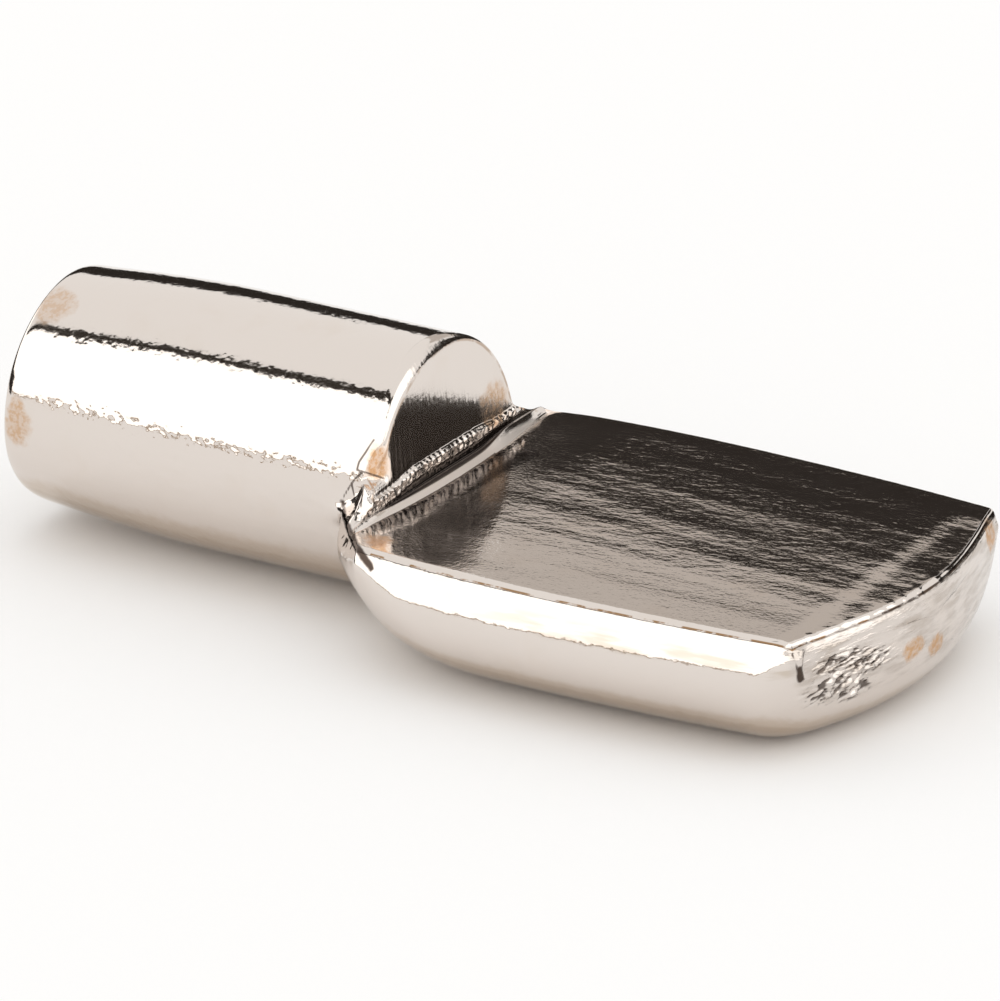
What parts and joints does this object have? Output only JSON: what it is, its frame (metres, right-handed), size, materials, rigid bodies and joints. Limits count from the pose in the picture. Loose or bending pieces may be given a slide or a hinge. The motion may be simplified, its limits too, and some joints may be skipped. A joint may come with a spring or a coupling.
{
  "type": "shelf support pin",
  "caption": "Spoon-type shelf support pin: a plain round pin that flares into a flat, rounded blade on which the shelf rests.",
  "frame": {"origin": "on the axis of the round pin, where its straight wall ends just behind the lobes and the face of the cabinet panel comes", "axes": "+X along the blade, away from the pin; +Z square to the face that carries the shelf, upwards; +Y across the blade"},
  "size_m": [0.019, 0.009, 0.0051],
  "materials": {
    "nickel_plate": "bright nickel plate over cold-formed steel, tarnished in places"
  },
  "bodies": {
    "root": {"support_pin": "nickel_plate"}
  },
  "joints": []
}
